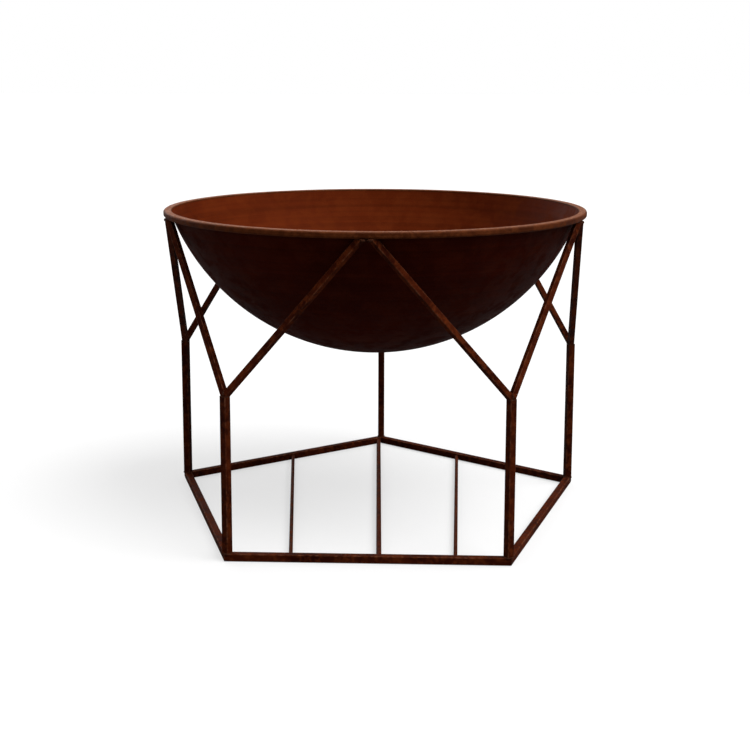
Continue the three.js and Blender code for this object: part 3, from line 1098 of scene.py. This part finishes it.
def crotch_seam(apex, leg, way):
    """The curve where a strut's skin meets its twin, from the outside over the top to the inside."""
    start, end, outward = strut_line(apex, leg, way)
    foot, _ = strut_cuts(apex, leg, way)
    outline, _ = rounded_square(STRUT, STRUT_CORNER)
    along, facing, across = bar_frame(start, end, outward)
    origins = start + outline.real[:, None] * across + outline.imag[:, None] * facing
    level, mitre = (cut_lengths(origins, along, [plane], np.max) for plane in foot)
    on_mitre = mitre > level
    seam = (origins + mitre[:, None] * along)[on_mitre]
    outwards = (seam - AXIS) @ heading(leg_angle(leg))
    return seam[np.argsort(-outwards)]


def fork_welds():
    """At every leg's head: a bead round the leg, one over the crotch, and the two fills."""
    shape = Shape()
    for i in range(SIDES):
        facing = heading(leg_angle(i))
        across = np.cross(facing, UP)
        head = polar(STAND_RADIUS, leg_angle(i), LEG_TOP)
        loop = section_loop(head - UP * HEAD_DROP, facing, TUBE - 2 * HEAD_SUNK, TUBE_CORNER)
        add_bead(shape, loop, HEAD_BEAD, UP, closed=True, seed=1.3 * i)
        add_bead(shape, crotch_seam(i, i, 1), CROTCH_BEAD, across, seed=0.7 * i)
        for side in (-1, 1):
            fill = [head + side * out * facing + UP * up for out, up in FILL_LINE]
            add_bead(shape, fill, FILL_BEAD, across, ripple=0.0030, seed=i + side, around=14)
    return place_welds("welds_forks", shape)


fork_weld_piece = fork_welds()
print("fork welds:", len(fork_weld_piece.data.polygons), "faces")

# %% [markdown]
# Under the rim the two struts of a pair only just touch. A thin bead dresses the outer edge of
# each end, and the end has a short, fat tack on its outside, with a small dark notch left between
# the two. A third tack joins the pair on the inside. All of them stay under the rim, because the
# bowl only rests there. The rods get a ring of weld where they butt against the base tubes.

# %% Welds at the apexes and the rods
END_BEAD = 0.0008
ROD_BEAD = 0.0010
# How far the middle of a rod's bead lies from the tube's face and from the rod's skin.
OFF_FACE = 0.0004
OFF_ROD = 0.0002
# Each tack of an apex: how far it lies out from the apex, down from the rim and aside, half its
# width, and its radius.
APEX_TACKS = (
    (0.0034, 0.0024, -0.0050, 0.0034, 0.0021),
    (0.0034, 0.0024, 0.0050, 0.0034, 0.0021),
    (-0.0100, 0.0030, 0.0, 0.0060, 0.0018),
)


def crown_seam(apex, leg, way, reach=0.0052, drop=0.0011):
    """The outer part of a strut's level top cut, from side to side, a little below the cut."""
    grid, _ = strut_grid(apex, leg, way)
    cut = grid[-1]
    outwards = (cut - AXIS) @ heading(apex_angle(apex))
    seam = cut[(cut[:, 2] > RIM_UNDERSIDE - 2 * SEAM) & (outwards > outwards.max() - reach)]
    side = np.cross(heading(apex_angle(apex)), UP)
    return seam[np.argsort(seam @ side)] - UP * drop


def apex_welds():
    """The three tacks of each apex, and a bead along the outer edge of each strut's end."""
    shape = Shape()
    for i in range(SIDES):
        side = np.cross(heading(apex_angle(i)), UP)
        for out, drop, aside, width, radius in APEX_TACKS:
            middle = polar(APEX_RADIUS + out, apex_angle(i), RIM_UNDERSIDE - drop) + aside * side
            add_bead(shape, [middle - width * side, middle + width * side], radius, UP, seed=i)
    for apex, _, leg, way in STRUTS:
        add_bead(shape, crown_seam(apex, leg, way), END_BEAD, UP, seed=apex + way)
    return place_welds("welds_apexes", shape)


def rod_welds():
    """A ring round both ends of each rod, a little inwards from the tube's face."""
    shape = Shape()
    for index, (ends, half) in enumerate(log_rods):
        for k, end in enumerate(ends):
            inward = BACKWARD if k == 0 else -BACKWARD
            loop = circle_seam(end + inward * OFF_FACE, half + OFF_ROD, RIGHTWARD, UP)
            add_bead(shape, loop, ROD_BEAD, inward, closed=True, seed=index + k)
    return place_welds("welds_rods", shape)


apex_weld_piece = apex_welds()
rod_weld_piece = rod_welds()
print("apex welds:", len(apex_weld_piece.data.polygons), "faces")
print("rod welds:", len(rod_weld_piece.data.polygons), "faces")

# %% [markdown]
# ## The grate
#
# The grate keeps the logs off the dish so that air gets under them. It is eight millimetre round
# bar: a ring that the dish's slope stops, two cross bars inside the ring, and a row of bars
# laid on top. It is loose, so it has its own body, and two bent rods serve as handles.

# %% Ring and bars of the grate
ring_low, ring_high = box_of("grate_ring")
GRATE_ROD = ring_high[2] - ring_low[2]
GRATE_RADIUS = (ring_high[0] - ring_low[0]) / 2 - GRATE_ROD / 2
GRATE_HEIGHT = (ring_high[2] + ring_low[2]) / 2
ROD_STEPS = 24
grate_section = round_section(GRATE_ROD, ROD_STEPS)


def roller_flats(t, profile):
    """The slight flats of a ring that was bent in rollers, and its slight twist out of level."""
    everywhere = np.ones_like(profile[:, :1])
    return 0.0003 * np.sin(11 * t) * everywhere, 0.0002 * np.sin(3 * t) * everywhere


def make_grate_ring():
    """A circle carried round the axis."""
    last = 360 - 360 / ROD_STEPS
    profile = arc((GRATE_RADIUS, GRATE_HEIGHT), GRATE_ROD / 2, 0, last, ROD_STEPS)
    grid = np.swapaxes(turn(profile, around=192, waves=roller_flats), 0, 1)
    ring = Shape().add(grid, close_rows=True, worn=0.25).make("grate_hoop")
    ring.data.materials.append(grate_rust)
    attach(ring, "grate")
    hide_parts("grate_ring")
    return ring


def make_grate_bar(node_name):
    """A round bar along the longest side of its node's box. A cross bar lies inside the ring, so it
    runs on to the middle of the ring's rod: half its length is the root of the ring's radius
    squared less its own distance from the middle squared."""
    low, high = box_of(node_name)
    middle = (low + high) / 2
    lengthwise = int(np.argmax(high - low))
    half_run = np.zeros(3)
    half_run[lengthwise] = (high - low)[lengthwise] / 2
    if node_name in CROSS_NODES:
        half_run[lengthwise] = math.sqrt(GRATE_RADIUS**2 - (middle - AXIS)[1] ** 2)
    start, end = middle - half_run, middle + half_run
    grid, caps = carry(grate_section, start, end, UP, *square_to(start, end), rows=10)
    name = node_name.replace("grate_", "grate_rod_")
    return place_bar(name, node_name, grate_section, grid, caps, grate_rust, "grate")


BAR_NODES = [f"grate_bar_{i + 1}" for i in range(9)]
CROSS_NODES = ["grate_cross_bar_front", "grate_cross_bar_rear"]
grate_ring = make_grate_ring()
grate_bars = [make_grate_bar(name) for name in BAR_NODES + CROSS_NODES]
print("grate:", len(grate_ring.data.polygons), "faces in the ring,", len(grate_bars), "bars")

# %% [markdown]
# ## The handles
#
# Each handle is one rod bent into a low arch, long enough for a gloved hand or a hook. Its path
# has two straight feet, two round bends and a straight top, and the section is carried along
# it. Since the whole path lies in one upright plane, the direction across that plane never changes,
# which keeps the section from twisting.

# %% Make the handles
def arch_path(half_span, foot, top, bend, steps=9):
    """The arch's outline in its own plane, as (sideways, height) points."""
    right = arc((half_span - bend, top - bend), bend, 0, 90, steps)
    left = arc((bend - half_span, top - bend), bend, 90, 180, steps)
    return np.vstack([[(half_span, foot)], right, left, [(-half_span, foot)]])


HANDLE_BEND = 0.014
HANDLE_FOOT = GRATE_HEIGHT + 0.3 * GRATE_ROD


def make_handle(side):
    """Makes a handle, and returns its two feet and its thickness for the welds."""
    low, high = box_of(f"grate_handle_{side}")
    thick = high[0] - low[0]
    half_span = (high[1] - low[1]) / 2 - thick / 2
    flat = arch_path(half_span, HANDLE_FOOT, high[2] - thick / 2, HANDLE_BEND)
    plane_x, plane_y = (low[0] + high[0]) / 2, (low[1] + high[1]) / 2
    path = np.stack([np.full(len(flat), plane_x), plane_y + flat[:, 0], flat[:, 1]], axis=-1)
    across = np.broadcast_to(RIGHTWARD, path.shape)
    in_plane = np.cross(path_directions(path), across)
    grid = circles(path, np.full(len(path), thick / 2), across, in_plane, around=16)
    handle = Shape().add(grid, caps=[path[0], path[-1]], worn=0.5).make(f"handle_{side}")
    handle.data.materials.append(grate_rust)
    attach(handle, "grate")
    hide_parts(f"grate_handle_{side}")
    return path[0], path[-1], thick


handle_feet = [make_handle(side) for side in ("left", "right")]
print("handles:", len(handle_feet))

# %% [markdown]
# The grate's bars are tacked wherever they cross something: a small bead on each side of the
# bar. The handles' feet get a ring.

# %% Welds of the grate
TACK_BEAD = 0.0019
TACK_RUN = 0.0038 * BACKWARD
TACK_ASIDE = 0.36 * GRATE_ROD
HANDLE_BEAD = 0.0013


def bar_tacks(shape):
    """A tack on both sides of every bar, at the ring's two sides and at the two cross bars."""
    cross_ys = [float(sum(box_of(name))[1] / 2) for name in CROSS_NODES]
    for index, name in enumerate(BAR_NODES):
        low, high = box_of(name)
        x = (low[0] + high[0]) / 2
        end = math.sqrt(GRATE_RADIUS**2 - x**2) - 0.1 * GRATE_ROD
        for y in (AXIS[1] - end, *cross_ys, AXIS[1] + end):
            for side in (-1, 1):
                centre = np.array([x + side * TACK_ASIDE, y, GRATE_HEIGHT + GRATE_ROD / 2])
                seam = [centre - TACK_RUN, centre + TACK_RUN]
                add_bead(shape, seam, TACK_BEAD, UP, seed=index + y * 9, around=8)


def handle_rings(shape):
    """A ring round each foot of the handles, on top of the ring's rod."""
    for first, last, thick in handle_feet:
        for foot in (first, last):
            centre = np.array([foot[0], foot[1], GRATE_HEIGHT + 0.46 * GRATE_ROD])
            loop = circle_seam(centre, thick / 2, RIGHTWARD, BACKWARD)
            add_bead(shape, loop, HANDLE_BEAD, UP, closed=True, seed=foot[1])


def grate_welds():
    shape = Shape()
    bar_tacks(shape)
    handle_rings(shape)
    return place_welds("welds_grate", shape, "grate", grate_rust)


grate_weld_piece = grate_welds()
print("grate welds:", len(grate_weld_piece.data.polygons), "faces")

# %% [markdown]
# ## Floor, light and camera
#
# The object stands on a light table: a plain pale floor that glows a little, so shadows on
# it stay pale. To any ray that doesn't come from the camera the floor is a dull grey, so it throws
# little light up into the underside of the dish. Three soft lights do the rest: one from high on
# the right, one from overhead and a weak one from behind, so that the back of the stand isn't black.
# The background is white, so that the wire stand reads clearly.

# %% Floor
def make_floor(size=40.0, level=-0.0005):
    """One large square, a hair under the object."""
    corners = [(x * size, y * size, level) for x, y in ((-1, -1), (1, -1), (1, 1), (-1, 1))]
    mesh = bpy.data.meshes.new("floor")
    mesh.from_pydata(corners, [], [(0, 1, 2, 3)])
    floor = bpy.data.objects.new("floor", mesh)
    bpy.context.scene.collection.objects.link(floor)
    mesh.materials.append(light_table(glow=0.55, pale=0.42, dull=0.22))
    return floor


def light_table(glow, pale, dull):
    """Glow plus pale paper to the camera, and dull grey to everything else."""
    material = bpy.data.materials.new("light_table")
    material.use_nodes = True
    tree = material.node_tree
    tree.nodes.clear()
    path = node(tree, "ShaderNodeLightPath")
    shine = node(tree, "ShaderNodeEmission", [("Strength", glow)])
    paper = node(tree, "ShaderNodeBsdfDiffuse", [("Color", (pale, pale, pale, 1))])
    bounce = node(tree, "ShaderNodeBsdfDiffuse", [("Color", (dull, dull, dull, 1))])
    seen = node(tree, "ShaderNodeAddShader", [(0, shine.outputs[0]), (1, paper.outputs[0])])
    mix = node(
        tree, "ShaderNodeMixShader",
        [(0, path.outputs["Is Camera Ray"]), (1, bounce.outputs[0]), (2, seen.outputs[0])],
    )
    node(tree, "ShaderNodeOutputMaterial", [("Surface", mix.outputs[0])])
    return material


floor = make_floor()

# %% Light
def add_sun(name, elevation, azimuth, strength, spread_degrees):
    """A soft, distant light. Azimuth is where it comes from: 0 is the front, 90 the right."""
    light = bpy.data.lights.new(name, "SUN")
    light.energy = strength
    light.angle = math.radians(spread_degrees)
    lamp = bpy.data.objects.new(name, light)
    e, a = math.radians(elevation), math.radians(azimuth)
    source = Vector((math.sin(a) * math.cos(e), -math.cos(a) * math.cos(e), math.sin(e)))
    lamp.rotation_mode = "QUATERNION"
    lamp.rotation_quaternion = source.to_track_quat("Z", "Y")
    bpy.context.scene.collection.objects.link(lamp)
    return lamp


def set_surroundings(fill, seen):
    """The world gives a weak fill, and shows a brighter white to the camera."""
    world = bpy.data.worlds.new("studio")
    world.use_nodes = True
    bpy.context.scene.world = world
    tree = world.node_tree
    tree.nodes.clear()
    path = node(tree, "ShaderNodeLightPath")
    lit = node(tree, "ShaderNodeBackground", [("Color", (1, 1, 1, 1)), ("Strength", fill)])
    shown = node(tree, "ShaderNodeBackground", [("Color", (1, 1, 1, 1)), ("Strength", seen)])
    mix = node(
        tree, "ShaderNodeMixShader",
        [(0, path.outputs["Is Camera Ray"]), (1, lit.outputs[0]), (2, shown.outputs[0])],
    )
    node(tree, "ShaderNodeOutputWorld", [("Surface", mix.outputs[0])])


add_sun("key", elevation=52, azimuth=70, strength=2.6, spread_degrees=50)
add_sun("overhead", elevation=84, azimuth=20, strength=1.3, spread_degrees=70)
add_sun("behind", elevation=28, azimuth=215, strength=0.9, spread_degrees=50)
set_surroundings(fill=0.18, seen=1.0)
bpy.context.scene.view_settings.view_transform = "Standard"

# %% [markdown]
# The camera stands almost straight in front, well above the rim, with a short telephoto lens. It
# looks down a little. The frame is shifted, as a studio camera's back is, so the legs stay
# nearly upright in the picture.

# %% Camera
def add_camera(azimuth, distance, height, pitch, roll, lens, shift):
    """A camera at a distance and an angle round the axis, looking level and then pitched down."""
    data = bpy.data.cameras.new("camera")
    data.sensor_width = 36.0
    data.lens = lens
    data.shift_y = shift
    camera = bpy.data.objects.new("camera", data)
    a = math.radians(azimuth)
    camera.location = Vector((AXIS[0] + distance * math.sin(a), AXIS[1] - distance * math.cos(a), height))
    look = Matrix.Rotation(a, 4, "Z") @ Matrix.Rotation(math.radians(90 - pitch), 4, "X")
    camera.rotation_euler = (look @ Matrix.Rotation(math.radians(roll), 4, "Z")).to_euler()
    bpy.context.scene.collection.objects.link(camera)
    bpy.context.scene.camera = camera
    return camera


camera = add_camera(
    azimuth=2.05, distance=2.1856, height=0.7328, pitch=9.227, roll=0.135, lens=62.99, shift=-0.12,
)
print("camera:", [round(v, 3) for v in camera.location])
